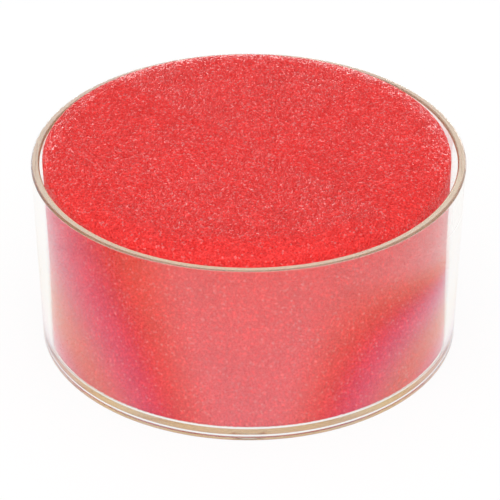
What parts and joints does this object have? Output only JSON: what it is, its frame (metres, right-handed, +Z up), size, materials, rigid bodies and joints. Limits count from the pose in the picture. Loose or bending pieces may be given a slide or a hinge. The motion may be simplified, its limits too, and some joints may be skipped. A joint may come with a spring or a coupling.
{
  "type": "sponge cup",
  "caption": "Clear round moulded cup filled by a red foam sponge disc that stands a little above the rim, kept damp for wetting brushes, fingers, paper or envelopes.",
  "frame": {"origin": "centre of the foot ring's underside, where the cup meets the table", "axes": "+Z up along the cup's axis; the part is round, so X and Y may be turned freely"},
  "size_m": [0.0824, 0.0824, 0.0404],
  "materials": {
    "clear_styrene": "clear, polished, with a faint straw tint in its edges",
    "red_foam": "matte open-cell foam with fine pores"
  },
  "bodies": {
    "cup": {"cup": "clear_styrene"},
    "sponge": {"sponge": "red_foam"}
  },
  "joints": [
    {"name": "sponge_lift", "type": "slide", "parent": "cup", "child": "sponge", "axis": [0, 0, 1], "range_m": [0, 0.045]}
  ]
}
